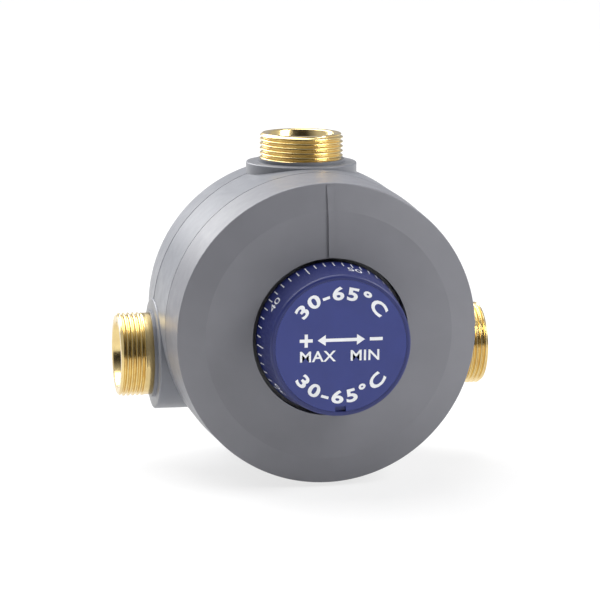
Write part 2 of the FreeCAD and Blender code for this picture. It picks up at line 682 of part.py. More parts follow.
def make_check_cage(port):
    """Barrel with the seat at its outer end and a spoked stem guide at its inner end."""
    body = new_body(port + "_check_cage")
    turn_port(body, [(S.cage_inside, S.cage_end), (S.cage_radius, S.cage_end),
                     (S.cage_radius, S.clamp_reach), (S.clamp_radius, S.clamp_reach),
                     (S.clamp_radius, S.flange_reach), (S.seat_radius, S.flange_reach),
                     (S.seat_radius, S.seat_reach), (S.cage_inside, S.seat_reach)])
    extrude(body, "Pad", "XY_Plane", S.cage_end, S.cage_end + S.guide_height,
            draw_circle, 0, 0, S.guide_radius)
    spoke = extrude(body, "Pad", "XY_Plane", S.cage_end, S.cage_end + S.guide_height, draw_box,
                    S.guide_radius - 1, S.cage_inside + 1, -S.spoke_width / 2, S.spoke_width / 2)
    ring_of(body, spoke, 3, "Z_Axis")
    extrude(body, "Pocket", "XY_Plane", S.cage_end, S.cage_end + S.guide_height,
            draw_circle, 0, 0, S.stem_radius + S.running)
    put_on_port(body, port)
    return body


def make_check_poppet(port):
    """Disc, guide nose and stem, drawn shut."""
    body = new_body(port + "_check_poppet")
    back = S.seat_reach - S.poppet_plate
    turn_port(body, [(0, S.cage_end - 0.5), (S.stem_radius, S.cage_end - 0.5),
                     (S.stem_radius, back), (S.poppet_radius, back),
                     (S.poppet_radius, S.seat_reach), (S.nose_radius + 1, S.seat_reach),
                     (S.nose_radius, S.seat_reach + S.nose_height),
                     (0, S.seat_reach + S.nose_height)])
    put_on_port(body, port)
    return body


def make_check_spring(port):
    return coil(port + "_check_spring", S.check_coil, S.check_wire,
                S.cage_end + S.guide_height, S.seat_reach - S.poppet_plate, 4, port)


# ---------------------------------------------------------------- cartridge

seal_depths = ((S.sleeve_back + S.hot_back) / 2, (S.hot_front + S.cold_back) / 2,
               (S.cold_front + S.flange_back) / 2)


def make_cartridge_sleeve():
    body = new_body("cartridge_sleeve")
    outer = S.bore_radius - S.fit
    turn_deep(body, [(S.sleeve_inside, S.sleeve_back), (outer, S.sleeve_back),
                     (outer, S.flange_back), (S.head_radius - S.fit, S.flange_back),
                     (S.head_radius - S.fit, S.flange_front),
                     (S.sleeve_inside, S.flange_front)])
    floor = S.bore_radius - S.sleeve_seal * 2
    half = S.sleeve_seal + 0.3
    for depth in seal_depths:
        turn_deep(body, [(floor, depth - half), (S.bore_radius + 1, depth - half),
                         (S.bore_radius + 1, depth + half), (floor, depth + half)], "Groove")
    for back, front in ((S.hot_window_back, S.hot_window_back + S.hot_window),
                        (S.cold_window_front - S.cold_window, S.cold_window_front)):
        window = extrude(body, "Pocket", "XZ_Plane", back, front, draw_box,
                         -S.window_half, S.window_half, 0, S.bore_radius + 1)
        ring_of(body, window, 6, "Y_Axis")
    return body


def make_sleeve_seals():
    middle = S.bore_radius - S.sleeve_seal
    return together("sleeve_seals", [
        o_ring("sleeve_ring_{}".format(i), middle, S.sleeve_seal, depth)
        for i, depth in enumerate(seal_depths, start=1)])


def make_shuttle():
    """Slide, drawn half way: both windows half open."""
    body = new_body("shuttle")
    outer = S.sleeve_inside - S.running
    turn_deep(body, [(outer - S.shuttle_wall, S.shuttle_back), (outer, S.shuttle_back),
                     (outer, S.shuttle_front),
                     (outer - S.shuttle_wall, S.shuttle_front)])
    extrude(body, "Pad", "XZ_Plane", S.web_depth, S.web_depth + S.web_thick,
            draw_circle, 0, 0, S.web_radius)
    spoke = extrude(body, "Pad", "XZ_Plane", S.web_depth, S.web_depth + S.web_thick, draw_box,
                    -S.web_thick / 2, S.web_thick / 2, S.web_radius - 1,
                    outer - S.shuttle_wall / 2)
    ring_of(body, spoke, 4, "Y_Axis")
    extrude(body, "Pocket", "XZ_Plane", S.web_depth, S.web_depth + S.web_thick,
            draw_circle, 0, 0, S.neck_of_bulb + S.fit)
    return body


def make_wax_element():
    body = new_body("wax_element")
    collar = S.web_depth - S.collar_thick
    hole = S.pin_radius + S.running
    turn_deep(body, [(0, S.bulb_back), (S.bulb_radius - 1.5, S.bulb_back),
                     (S.bulb_radius, S.bulb_back + 1.5), (S.bulb_radius, collar),
                     (S.collar_radius, collar), (S.collar_radius, S.web_depth),
                     (S.neck_of_bulb, S.web_depth), (S.neck_of_bulb, S.neck_front),
                     (hole, S.neck_front), (hole, S.pin_floor_depth),
                     (0, S.pin_floor_depth)])
    return body


def make_element_nut():
    body = new_body("element_nut")
    back = S.web_depth + S.web_thick
    extrude(body, "Pad", "XZ_Plane", back, back + S.nut_thick, draw_hexagon, S.nut_flats)
    extrude(body, "Pocket", "XZ_Plane", back, back + S.nut_thick,
            draw_circle, 0, 0, S.neck_of_bulb + S.fit)
    return body


def make_element_piston():
    body = new_body("element_piston")
    tip = S.pin_radius - 0.6
    turn_deep(body, [(0, S.pin_back), (tip, S.pin_back), (S.pin_radius, S.pin_back + 0.6),
                     (S.pin_radius, S.cup_back), (0, S.cup_back)])
    return body


# --------------------------------------------------- overload and adjustment

def make_overload_cup():
    body = new_body("overload_cup")
    front = S.cup_back + S.cup_thick
    turn_deep(body, [(0, S.cup_back), (S.cup_radius, S.cup_back), (S.cup_radius, front),
                     (S.cup_pilot, front), (S.cup_pilot, front + S.pilot_height),
                     (0, front + S.pilot_height)])
    return body


def make_cup_retainer():
    """Snap ring: open at one side."""
    body = new_body("cup_retainer")
    outer = S.carrier_inside + S.clip_groove
    back = S.clip_back
    turn_deep(body, [(S.clip_inside, back), (outer, back), (outer, S.cup_back),
                     (S.clip_inside, S.cup_back)])
    extrude(body, "Pocket", "XZ_Plane", back, S.cup_back, draw_box,
            -S.clip_thick, S.clip_thick, 0, outer + 1)
    return body


def make_carrier():
    """Cup that the spindle's thread moves, kept from turning by two keys."""
    body = new_body("carrier")
    groove = S.carrier_inside + S.clip_groove
    hole = S.spindle_radius + S.running
    turn_deep(body, [(S.carrier_inside, S.carrier_back), (S.carrier_radius, S.carrier_back),
                     (S.carrier_radius, S.carrier_front), (hole, S.carrier_front),
                     (hole, S.carrier_floor), (S.carrier_inside, S.carrier_floor),
                     (S.carrier_inside, S.cup_back), (groove, S.cup_back),
                     (groove, S.clip_back), (S.carrier_inside, S.clip_back)])
    key = extrude(body, "Pad", "XZ_Plane", S.carrier_back + S.key_back,
                  S.carrier_front - S.key_front, draw_box,
                  S.carrier_radius - 1, S.key_reach, -S.key_width / 2, S.key_width / 2)
    ring_of(body, key, 2, "Y_Axis")
    return body


# --------------------------------------------------------- bonnet and spindle

def make_bonnet():
    body = new_body("bonnet")
    room = S.carrier_radius + S.running
    stem = S.spindle_radius + S.running
    screwed = S.head_radius - S.fit
    floor = S.head_radius - S.bonnet_seal * 2
    seal_back = S.bonnet_seal_at - S.bonnet_seal - 0.25
    seal_front = S.bonnet_seal_at + S.bonnet_seal + 0.25
    hexagon_front = S.hub_depth + S.head_thick
    turn_deep(body, [(room, S.flange_front), (screwed, S.flange_front), (screwed, seal_back),
                     (floor, seal_back), (floor, seal_front), (screwed, seal_front),
                     (screwed, S.hub_depth + 1), (S.post_radius, S.hub_depth + 1),
                     (S.post_radius, S.post_depth), (S.nose_thread, S.post_depth),
                     (S.nose_thread, S.nose_depth), (stem, S.nose_depth),
                     (stem, S.bonnet_floor), (room, S.bonnet_floor)])
    extrude(body, "Pad", "XZ_Plane", S.hub_depth, hexagon_front, draw_hexagon, S.head_flats)
    extrude(body, "Pocket", "XZ_Plane", S.hub_depth, hexagon_front, draw_circle, 0, 0, room)
    slot = extrude(body, "Pocket", "XZ_Plane", S.flange_front, S.collar_back, draw_box,
                   0, S.key_reach + 0.3, -S.key_width / 2 - 0.15, S.key_width / 2 + 0.15)
    ring_of(body, slot, 2, "Y_Axis")
    return body


def make_bonnet_seal():
    ring = o_ring("bonnet_seal", S.head_radius - S.bonnet_seal, S.bonnet_seal,
                  S.bonnet_seal_at)
    ring.Label = "bonnet_seal"
    return ring


def make_spindle():
    """Threaded inner end, collar against the bonnet, flat and tapped outer end."""
    body = new_body("spindle")
    floor = S.spindle_radius + S.running - S.spindle_seal * 2
    seal_back = S.spindle_seal_at - S.spindle_seal - 0.2
    seal_front = S.spindle_seal_at + S.spindle_seal + 0.2
    tapped = S.screw_radius + S.fit
    turn_deep(body, [(0, S.spindle_back), (S.spindle_radius - 1, S.spindle_back),
                     (S.spindle_radius, S.spindle_back + 1),
                     (S.spindle_radius, S.collar_back), (S.spindle_collar, S.collar_back),
                     (S.spindle_collar, S.bonnet_floor - 0.1),
                     (S.spindle_radius, S.bonnet_floor - 0.1),
                     (S.spindle_radius, seal_back), (floor, seal_back), (floor, seal_front),
                     (S.spindle_radius, seal_front), (S.spindle_radius, S.spindle_end),
                     (tapped, S.spindle_end), (tapped, S.screw_back - 1),
                     (0, S.screw_back - 1)])
    extrude(body, "Pocket", "XZ_Plane", S.flat_back, S.spindle_end, draw_box,
            -S.spindle_radius - 1, S.spindle_radius + 1, S.spindle_flat, S.spindle_radius + 1)
    return body


def make_spindle_seal():
    ring = o_ring("spindle_seal", S.spindle_radius + S.running - S.spindle_seal,
                  S.spindle_seal, S.spindle_seal_at)
    ring.Label = "spindle_seal"
    return ring


# -------------------------------------------------------------------- cover

def make_front_cover():
    body = new_body("front_cover")
    inside = S.drum_front - S.cover_wall
    lip = S.cavity_radius - S.lip_gap
    turn_deep(body, [(S.nose_thread + S.running, S.post_depth),
                     (S.hole_radius + S.cover_wall, S.post_depth),
                     (S.hole_radius + S.cover_wall, S.hole_depth - S.cover_wall - 0.5),
                     (S.ring_radius, S.ring_depth - S.cover_wall),
                     (S.cover_edge - S.cover_wall, S.cover_edge_depth - S.cover_wall + 0.5),
                     (inside - 1, S.seam_depth + S.lip_height),
                     (lip - S.lip_wall, S.seam_depth + S.lip_height),
                     (lip - S.lip_wall, S.seam_depth - S.lip_height),
                     (lip, S.seam_depth - S.lip_height), (lip, S.seam_depth),
                     (S.drum_front, S.seam_depth), (S.cover_edge, S.cover_edge_depth),
                     (S.ring_radius, S.ring_depth), (S.hole_radius, S.hole_depth),
                     (S.hole_radius, S.floor_front), (S.nose_thread + S.running, S.floor_front)])
    round_edges(body, S.cover_round, deep_edge(S.cover_edge, S.cover_edge_depth))
    # index rib, upright above the knob
    up = S.rib_height
    extrude(body, "Pad", "YZ_Plane", -S.rib_width / 2, S.rib_width / 2, draw_outline, [
        (-(S.cover_edge_depth - 2), S.cover_edge - 1.2),
        (-(S.cover_edge_depth + up), S.cover_edge - 1.2),
        (-(S.ring_depth + up), S.ring_radius), (-(S.hole_depth + up), S.hole_radius + 0.4),
        (-(S.hole_depth - 2), S.hole_radius + 0.4), (-(S.ring_depth - 2), S.ring_radius)])
    return body


def make_cover_gasket():
    body = new_body("cover_gasket")
    outer = S.drum_front - S.gasket_edge
    turn_deep(body, [(S.cavity_radius + 0.3, rim_depth), (outer, rim_depth),
                     (outer, S.seam_depth), (S.cavity_radius + 0.3, S.seam_depth)])
    return body


def make_cover_nut():
    body = new_body("cover_nut")
    front = S.floor_front + S.cover_nut_thick
    extrude(body, "Pad", "XZ_Plane", S.floor_front, front, draw_hexagon, S.cover_flats)
    extrude(body, "Pocket", "XZ_Plane", S.floor_front, front,
            draw_circle, 0, 0, S.nose_thread + S.fit)
    return body


# --------------------------------------------------------------------- knob

cap_back = S.face_depth - S.cap_thick


def make_knob_body():
    body = new_body("knob_body")
    hub_bore = S.spindle_radius + S.fit
    turn_deep(body, [(hub_bore, S.flat_back), (S.hub_of_knob, S.flat_back),
                     (S.hub_of_knob, S.web_back), (S.face_radius - S.knob_wall, S.web_back),
                     (S.skirt_radius - S.knob_wall, S.skirt_depth),
                     (S.skirt_radius, S.skirt_depth), (S.face_radius, S.face_depth),
                     (S.cap_radius + S.cap_gap, S.face_depth),
                     (S.cap_radius + S.cap_gap, cap_back), (S.well_radius, cap_back),
                     (S.well_radius, S.web_front), (hub_bore, S.web_front)])
    round_edges(body, S.face_round, deep_edge(S.face_radius, S.face_depth))
    # flat in the hub that takes the spindle's flat
    flat = S.spindle_flat + S.fit
    extrude(body, "Pad", "XZ_Plane", S.flat_back, S.web_front, draw_outline, [
        (-S.spindle_radius, flat), (S.spindle_radius, flat),
        (S.spindle_radius, S.hub_of_knob - 1), (-S.spindle_radius, S.hub_of_knob - 1)])
    return body


def make_knob_cap():
    body = new_body("knob_cap")
    clip = S.well_radius - S.cap_gap
    turn_deep(body, [(0, cap_back), (clip - S.clip_wall, cap_back),
                     (clip - S.clip_wall, cap_back - S.clip_height),
                     (clip, cap_back - S.clip_height), (clip, cap_back),
                     (S.cap_radius, cap_back), (S.cap_radius, S.face_depth),
                     (0, S.face_depth)])
    extrude(body, "Pocket", "XZ_Plane", cap_back + 0.4, S.face_depth, draw_box,
            -S.pry_width / 2, S.pry_width / 2,
            -S.cap_radius - 1, -S.cap_radius + S.pry_height)
    return body


def make_knob_screw():
    body = new_body("knob_screw")
    front = S.web_front + S.head_height
    turn_deep(body, [(0, S.screw_back), (S.screw_radius - 0.8, S.screw_back),
                     (S.screw_radius, S.screw_back + 0.8), (S.screw_radius, S.web_front),
                     (S.screw_head, S.web_front), (S.screw_head, front - 0.6),
                     (S.screw_head - 0.6, front), (0, front)])
    for across in (0, 90):
        arm, half = S.screw_head * 0.6, Size.of(0.6)
        sides = (-arm, arm, -half, half) if across == 0 else (-half, half, -arm, arm)
        extrude(body, "Pocket", "XZ_Plane", front - 1.8, front, draw_box, *sides)
    return body


# ------------------------------------------------------------------ assembly

parts = [make_valve_body(), make_front_cover(), make_cover_gasket(), make_cover_nut(),
         make_nipple(HOT), make_nipple(COLD), make_nipple(OUTLET), make_nipple_seals(),
         make_cartridge_sleeve(), make_sleeve_seals(), make_shuttle(), make_wax_element(),
         make_element_nut(), make_element_piston(), make_overload_cup(),
         make_cup_retainer(), make_carrier(), make_bonnet(), make_bonnet_seal(),
         make_spindle(), make_spindle_seal(), make_knob_body(), make_knob_cap(),
         make_knob_screw()]
for side in (HOT, COLD):
    parts += [make_strainer(side), make_check_cage(side), make_check_poppet(side),
              make_check_spring(side)]
parts += [coil("return_spring", S.return_coil, S.return_wire, S.chamber_floor,
               S.web_depth, 6),
          coil("overload_spring", S.overload_coil, S.overload_wire,
               S.cup_back + S.cup_thick, S.carrier_floor, 3.5)]

doc.recompute()
for item in doc.Objects:
    if "Invalid" in item.State or "Error" in item.State:
        raise RuntimeError("{} is {}".format(item.Label, item.State))
os.makedirs("parts", exist_ok=True)
for item in parts:
    if item.Shape.isNull() or not item.Shape.isValid():
        raise RuntimeError("{} has no valid shape".format(item.Label))
    item.Shape.exportStep(os.path.join("parts", item.Label + ".step"))
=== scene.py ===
import bpy
import bmesh
from math import ceil, cos, pi, radians, sin
from mathutils import Matrix, Vector
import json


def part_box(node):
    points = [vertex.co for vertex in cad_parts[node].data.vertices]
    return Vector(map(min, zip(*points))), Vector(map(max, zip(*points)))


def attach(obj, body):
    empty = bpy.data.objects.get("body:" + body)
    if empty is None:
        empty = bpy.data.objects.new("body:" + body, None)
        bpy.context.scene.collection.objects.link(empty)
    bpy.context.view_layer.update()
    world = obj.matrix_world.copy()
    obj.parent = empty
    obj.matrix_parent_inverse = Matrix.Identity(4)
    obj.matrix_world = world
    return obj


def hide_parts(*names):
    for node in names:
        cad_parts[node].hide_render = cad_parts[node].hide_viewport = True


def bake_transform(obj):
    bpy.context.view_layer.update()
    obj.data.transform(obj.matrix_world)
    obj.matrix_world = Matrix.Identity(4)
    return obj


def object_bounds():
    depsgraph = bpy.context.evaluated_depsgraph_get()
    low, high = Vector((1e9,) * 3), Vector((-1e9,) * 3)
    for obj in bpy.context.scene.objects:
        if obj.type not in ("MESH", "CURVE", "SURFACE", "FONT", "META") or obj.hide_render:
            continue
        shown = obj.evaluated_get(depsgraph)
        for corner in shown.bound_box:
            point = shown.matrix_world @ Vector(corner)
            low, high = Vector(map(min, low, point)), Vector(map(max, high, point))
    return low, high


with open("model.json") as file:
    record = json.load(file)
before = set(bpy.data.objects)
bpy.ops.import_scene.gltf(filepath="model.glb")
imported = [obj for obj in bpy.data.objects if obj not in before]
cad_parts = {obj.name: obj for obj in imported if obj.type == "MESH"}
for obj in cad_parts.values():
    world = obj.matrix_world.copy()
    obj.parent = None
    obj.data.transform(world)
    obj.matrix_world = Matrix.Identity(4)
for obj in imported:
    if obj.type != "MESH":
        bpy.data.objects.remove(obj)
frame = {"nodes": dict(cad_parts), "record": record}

# Thermostatic mixing valve. Metres, row frame: +X to the cold side, -Y to the front, +Z up.
cad_low, cad_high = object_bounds()
MM = 0.001
mounts = {mount["name"]: mount for mount in frame["record"]["mounts"]}


# ------------------------------------------------------------------ materials

class Nodes:
    """Short calls for building one node material."""

    def __init__(self, name):
        self.material = bpy.data.materials.new(name)
        self.material.use_nodes = True
        self.tree = self.material.node_tree
        self.shader = self.tree.nodes["Principled BSDF"]
        self.coordinates = self.add("ShaderNodeTexCoord").outputs["Object"]

    def add(self, kind, **inputs):
        node = self.tree.nodes.new(kind)
        for key, value in inputs.items():
            node.inputs[key.replace("_", " ")].default_value = value
        return node

    def link(self, output, target):
        self.tree.links.new(output, target)

    def noise(self, size, detail=3.0):
        """Noise whose spots are about size metres across."""
        node = self.add("ShaderNodeTexNoise", Scale=1 / size, Detail=detail)
        self.link(self.coordinates, node.inputs["Vector"])
        return node.outputs["Fac"]

    def spread(self, factor, low, high, start=0.3, end=0.7):
        """Maps a factor to the range low to high."""
        node = self.add("ShaderNodeMapRange")
        for key, value in (("From Min", start), ("From Max", end), ("To Min", low), ("To Max", high)):
            node.inputs[key].default_value = value
        self.link(factor, node.inputs["Value"])
        return node.outputs["Result"]

    def between(self, factor, first, second):
        """Colour that goes from first to second with the factor."""
        node = self.tree.nodes.new("ShaderNodeMix")
        node.data_type = "RGBA"
        self.link(factor, node.inputs["Factor"])
        for socket, colour in ((node.inputs[6], first), (node.inputs[7], second)):
            if isinstance(colour, tuple):
                socket.default_value = (*colour, 1)
            else:
                self.link(colour, socket)
        return node.outputs[2]

    def bump(self, height, depth):
        node = self.add("ShaderNodeBump", Distance=depth, Strength=1.0)
        self.link(height, node.inputs["Height"])
        self.link(node.outputs["Normal"], self.shader.inputs["Normal"])

    def colour(self, value):
        self.link(value, self.shader.inputs["Base Color"])

    def rough(self, value):
        self.link(value, self.shader.inputs["Roughness"])

    def fixed(self, **values):
        for key, value in values.items():
            self.shader.inputs[key.replace("_", " ")].default_value = value


def paint(name, colour, rough=0.42):
    """Sprayed enamel: faint orange peel, slow changes of shade, dust in the gloss."""
    nodes = Nodes(name)
    dark = tuple(c * 0.93 for c in colour)
    nodes.colour(nodes.between(nodes.spread(nodes.noise(0.02), 0, 1), dark, colour))
    nodes.rough(nodes.spread(nodes.noise(0.006), rough - 0.05, rough + 0.06))
    nodes.bump(nodes.noise(0.0022, 2), 0.000008)
    nodes.fixed(Specular_IOR_Level=0.5)
    return nodes.material


TOOL_MARK = 2 * MM


def metal(name, colour, stain, rough):
    """Machined metal: tarnish in patches, fine unevenness from the tool."""
    nodes = Nodes(name)
    patches = nodes.spread(nodes.noise(0.007, 5), 0, 1, 0.35, 0.75)
    nodes.colour(nodes.between(patches, colour, stain))
    nodes.rough(nodes.spread(nodes.noise(TOOL_MARK, 4), rough * 0.85, rough * 1.2))
    nodes.bump(nodes.noise(TOOL_MARK, 2), 0.000003)
    nodes.fixed(Metallic=1.0)
    return nodes.material


def plastic(name, colour, rough, grain=0.0006, depth=0.00001):
    """Moulded plastic: even colour with a fine skin."""
    nodes = Nodes(name)
    dark = tuple(c * 0.9 for c in colour)
    nodes.colour(nodes.between(nodes.spread(nodes.noise(0.012), 0, 1), dark, colour))
    nodes.rough(nodes.spread(nodes.noise(0.004), rough - 0.04, rough + 0.05))
    nodes.bump(nodes.noise(grain, 2), depth)
    nodes.fixed(Specular_IOR_Level=0.5)
    return nodes.material


finishes = {
    # Body and cover wear the same grey enamel. The body's grey is set a little lighter than the
    # cover's as painted light, so its top and sides come out brighter.
    "body_paint": paint("body_paint", (0.205, 0.211, 0.235), 0.36),
    "cover_paint": paint("cover_paint", (0.187, 0.188, 0.208), 0.42),
    "brass": metal("spigot_brass", (0.84, 0.66, 0.31), (0.73, 0.54, 0.25), 0.22),
    "inner_brass": metal("inner_brass", (0.80, 0.60, 0.30), (0.60, 0.42, 0.20), 0.3),
    "element_brass": metal("capsule_brass", (0.80, 0.52, 0.30), (0.55, 0.33, 0.18), 0.33),
    "steel": metal("stainless_steel", (0.66, 0.65, 0.62), (0.50, 0.49, 0.46), 0.3),
    "rubber": plastic("black_rubber", (0.03, 0.03, 0.03), 0.7),
    "check_plastic": plastic("pale_acetal", (0.72, 0.71, 0.64), 0.45),
    "poppet_plastic": plastic("dark_acetal", (0.06, 0.06, 0.07), 0.45),
    "shuttle_plastic": plastic("filled_plastic", (0.05, 0.05, 0.055), 0.5),
    # The knob body is the cap's blue plastic made darker. This is painted shade for the skirt sunk in
    # the cover's recess.
    "knob_blue": plastic("blue_knob_painted_shade", (0.013, 0.020, 0.125), 0.42),
    "cap_blue": plastic("blue_cap", (0.024, 0.037, 0.20), 0.38),
}
for entry in frame["record"]["subparts"]:
    node = frame["nodes"][entry["node"]]
    node.data.materials.clear()
    node.data.materials.append(finishes[entry["material_slot"]])
white_ink = plastic("white_ink", (0.82, 0.83, 0.85), 0.45, grain=0.0004, depth=0.000004)


# --------------------------------------------------------------- mesh helpers

def new_object(name, mesh, material, body=None):
    """Piece that rides on the given body, or stands on its own when no body is given."""
    piece = bpy.data.objects.new(name, mesh)
    bpy.context.scene.collection.objects.link(piece)
    mesh.materials.append(material)
    if body:
        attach(piece, body)
    return piece


def surface_of_rows(rows, crease=radians(50), capped=False):
    """Closed mesh of rings of points, sharp where faces meet at more than the crease angle.
    The last ring joins the first, or both are capped."""
    mesh_data = bmesh.new()
    rings = [[mesh_data.verts.new(point) for point in row] for row in rows]
    count = len(rows[0])
    afters = rings[1:] if capped else rings[1:] + rings[:1]
    for ring, after in zip(rings, afters):
        for j in range(count):
            k = (j + 1) % count
            mesh_data.faces.new((ring[j], ring[k], after[k], after[j]))
    if capped:
        mesh_data.faces.new(rings[0])
        mesh_data.faces.new(rings[-1])
    bmesh.ops.recalc_face_normals(mesh_data, faces=mesh_data.faces)
    for face in mesh_data.faces:
        face.smooth = True
    for edge in mesh_data.edges:
        if len(edge.link_faces) == 2 and edge.calc_face_angle() > crease:
            edge.smooth = False
    mesh = bpy.data.meshes.new("rows")
    mesh_data.to_mesh(mesh)
    mesh_data.free()
    return mesh


# ------------------------------------------------------------ threaded spigots

PITCH = 2.309 * MM
THREAD_DEPTH = 1.30 * MM
AROUND = 128
STEPS_PER_PITCH = 14
WALL = 4.8 * MM            # from the crest to the bore
SHANK_DROP = 1.45 * MM     # from the crest to the shank inside the boss
LAND_DROP = 0.35 * MM      # from the crest to the plain land behind the thread
LAND_EDGE = 0.2 * MM
RUN_IN = 0.4 * MM          # the thread starts this far behind its stated length
FADE_PITCHES = 0.9         # pitches in which the thread reaches full depth
MOUTH_EDGE = 0.5 * MM
boss_reach = -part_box("valve_body")[0].x


def thread_drop(turns):
    """How far the flank lies under the crest, 0 to 1, for a position in turns."""
    part = turns % 1.0
    ramp = abs(2 * part - 1)
    return ramp * ramp * (3 - 2 * ramp)


def spigot(node, mount_name):
    """Nipple with its real thread, in place of the plain CAD one."""
    mount = mounts[mount_name]
    axis = Vector(mount["axis"])
    centre = Vector(mount["pos_m"])
    length = mount["dims"]["length_mm"] * MM
    crest = mount["dims"]["r_mm"] * MM
    low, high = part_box(node)
    ends = sorted((low.dot(axis), high.dot(axis)))
    root = centre.dot(axis) - length / 2
    tip = ends[1]
    chamfer = tip - (root + length)
    bore = crest - WALL
    shank = crest - SHANK_DROP
    land = crest - LAND_DROP
    foot = boss_reach
    plain = root - foot > PITCH

    rows = []

    def ring(reach, radius):
        rows.append([(radius, 2 * pi * j / AROUND, reach) for j in range(AROUND)])

    ring(ends[0], bore)
    ring(ends[0], shank)
    ring(foot, shank)
    start = foot
    if plain:
        ring(foot, land - LAND_EDGE)
        ring(foot + LAND_EDGE, land)
        start = root - RUN_IN
    steps = ceil((tip - start) / (PITCH / STEPS_PER_PITCH))
    for i in range(steps + 1):
        reach = start + (tip - start) * i / steps
        cap = crest - max(0.0, reach - (tip - chamfer))
        row = []
        for j in range(AROUND):
            angle = 2 * pi * j / AROUND
            fade = min(1.0, max(0.0, (reach - start) / (FADE_PITCHES * PITCH))) if plain else 1.0
            drop = thread_drop((reach - start) / PITCH + j / AROUND)
            radius = crest - THREAD_DEPTH * drop * fade
            if plain:
                radius = min(radius, land + (crest - land) * fade)
            row.append((min(radius, cap), angle, reach))
        rows.append(row)
    ring(tip, bore + MOUTH_EDGE)
    ring(tip - MOUTH_EDGE, bore)

    side = axis.orthogonal().normalized()
    other = axis.cross(side)
    foot_point = centre - axis * centre.dot(axis)
    points = [[foot_point + axis * reach + (side * cos(angle) + other * sin(angle)) * radius
               for radius, angle, reach in row] for row in rows]
    piece = new_object(node + "_threaded", surface_of_rows(points), finishes["brass"],
                       "valve")
    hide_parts(node)


spigot("hot_nipple", "hot_inlet")
spigot("cold_nipple", "cold_inlet")
spigot("outlet_nipple", "mixed_outlet")


# ------------------------------------------------- parting line of the casting

BEAD_WIDTH = 0.9 * MM
BEAD_RISE = 0.16 * MM
BEAD_STEPS = 256


def parting_line():
    """Low bead round the drum at the plane of the ports, where the halves of the mould met."""
    depth = -mounts["mixed_outlet"]["pos_m"][1]
    radius = -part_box("valve_body")[0].z
    section = [(-BEAD_WIDTH / 2, -BEAD_RISE), (-BEAD_WIDTH / 5, BEAD_RISE),
               (BEAD_WIDTH / 5, BEAD_RISE), (BEAD_WIDTH / 2, -BEAD_RISE)]
    rows = []
    for i in range(BEAD_STEPS):
        angle = 2 * pi * i / BEAD_STEPS
        rows.append([Vector(((radius + up) * cos(angle), along - depth, (radius + up) * sin(angle)))
                     for along, up in section])
    mesh = surface_of_rows(rows, crease=radians(20))
    new_object("parting_line", mesh, finishes["body_paint"], "valve")


parting_line()


# -------------------------------------------------------------------- springs

STEPS_PER_TURN = 28
WIRE_SIDES = 10


def flexing_spring(node, axis, turns, wire):
    """Round-wire coil spring in place of the plain CAD one, with wire as its radius. The axis
    points from the end on the fixed body to the end on the moving one. Every coil starts at +Z,
    which the CAD springs don't all do."""
    low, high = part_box(node)
    axis = Vector(axis)
    middle = (low + high) / 2
    side = Vector((0, 0, 1))
    other = axis.cross(side)
    half = abs((high - low).dot(axis)) / 2
    radius = (high.z - low.z) / 2 - wire
    steps = int(turns * STEPS_PER_TURN)
    rows = []
    for i in range(steps + 1):
        angle = 2 * pi * i / STEPS_PER_TURN
        out = side * cos(angle) + other * sin(angle)
        core = middle + axis * ((half - wire) * (2 * i / steps - 1)) + out * radius
        rows.append([core + (out * cos(turn) + axis * sin(turn)) * wire
                     for turn in (2 * pi * k / WIRE_SIDES for k in range(WIRE_SIDES))])
    mesh = surface_of_rows(rows, capped=True)
    piece = new_object(node + "_wire", mesh, finishes["steel"])
    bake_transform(piece)
    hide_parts(node)


flexing_spring("return_spring", (0, -1, 0), 6, 1.2 * MM)
flexing_spring("overload_spring", (0, 1, 0), 3.5, 0.8 * MM)
flexing_spring("hot_check_spring", (-1, 0, 0), 4, 0.5 * MM)
flexing_spring("cold_check_spring", (1, 0, 0), 4, 0.5 * MM)


# ------------------------------------------------------------- knob markings

knob_low, knob_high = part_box("knob_body")
cap_low, cap_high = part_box("knob_cap")
SKIRT_BACK = knob_high.y
SKIRT_BACK_RADIUS = knob_high.x
FACE = knob_low.y
SKIRT_TAPER = 2.6 * MM
FACE_RADIUS = SKIRT_BACK_RADIUS - SKIRT_TAPER
INK = 0.06 * MM
REST_VALUE = 48      # degrees Celsius at the rib when the knob is half way
DEGREE = 2 * pi / 50  # turn of the knob for one degree Celsius
VALUES = range(30, 66)
TICK_START = 1.8 * MM      # all places on the skirt are measured from its back edge
TICK_END = 7.3 * MM
LONG_TICK_END = 11.2 * MM
TICK_WIDTH = 0.55 * MM
NUMBER_SIZE = 8.0 * MM
NUMBER_PLACE = 12.0 * MM


def on_skirt(angle, ahead):
    """Point just over the skirt: angle clockwise from the top, ahead of its back edge."""
    share = ahead / (SKIRT_BACK - FACE)
    radius = SKIRT_BACK_RADIUS + (FACE_RADIUS - SKIRT_BACK_RADIUS) * share + INK
    return Vector((radius * sin(angle), SKIRT_BACK - ahead, radius * cos(angle)))


def text_mesh(text, size, place, bold=0.0, spacing=1.0):
    """Flat mesh of plain signs, with every point moved by place(across, up)."""
    curve = bpy.data.curves.new("signs", "FONT")
    curve.body = text
    curve.size = size
    curve.offset = bold * size
    curve.space_character = spacing
    curve.align_x = "CENTER"
    curve.align_y = "CENTER"
    curve.resolution_u = 4
    holder = bpy.data.objects.new("signs", curve)
    bpy.context.scene.collection.objects.link(holder)
    bpy.context.view_layer.update()
    mesh = bpy.data.meshes.new_from_object(holder)
    bpy.data.objects.remove(holder)
    for vertex in mesh.vertices:
        vertex.co = place(vertex.co.x, vertex.co.y)
    return mesh


def joined(name, meshes, body):
    """One object of several flat ink meshes."""
    whole = bmesh.new()
    for mesh in meshes:
        whole.from_mesh(mesh)
        bpy.data.meshes.remove(mesh)
    mesh = bpy.data.meshes.new(name)
    whole.to_mesh(mesh)
    whole.free()
    return new_object(name, mesh, white_ink, body)


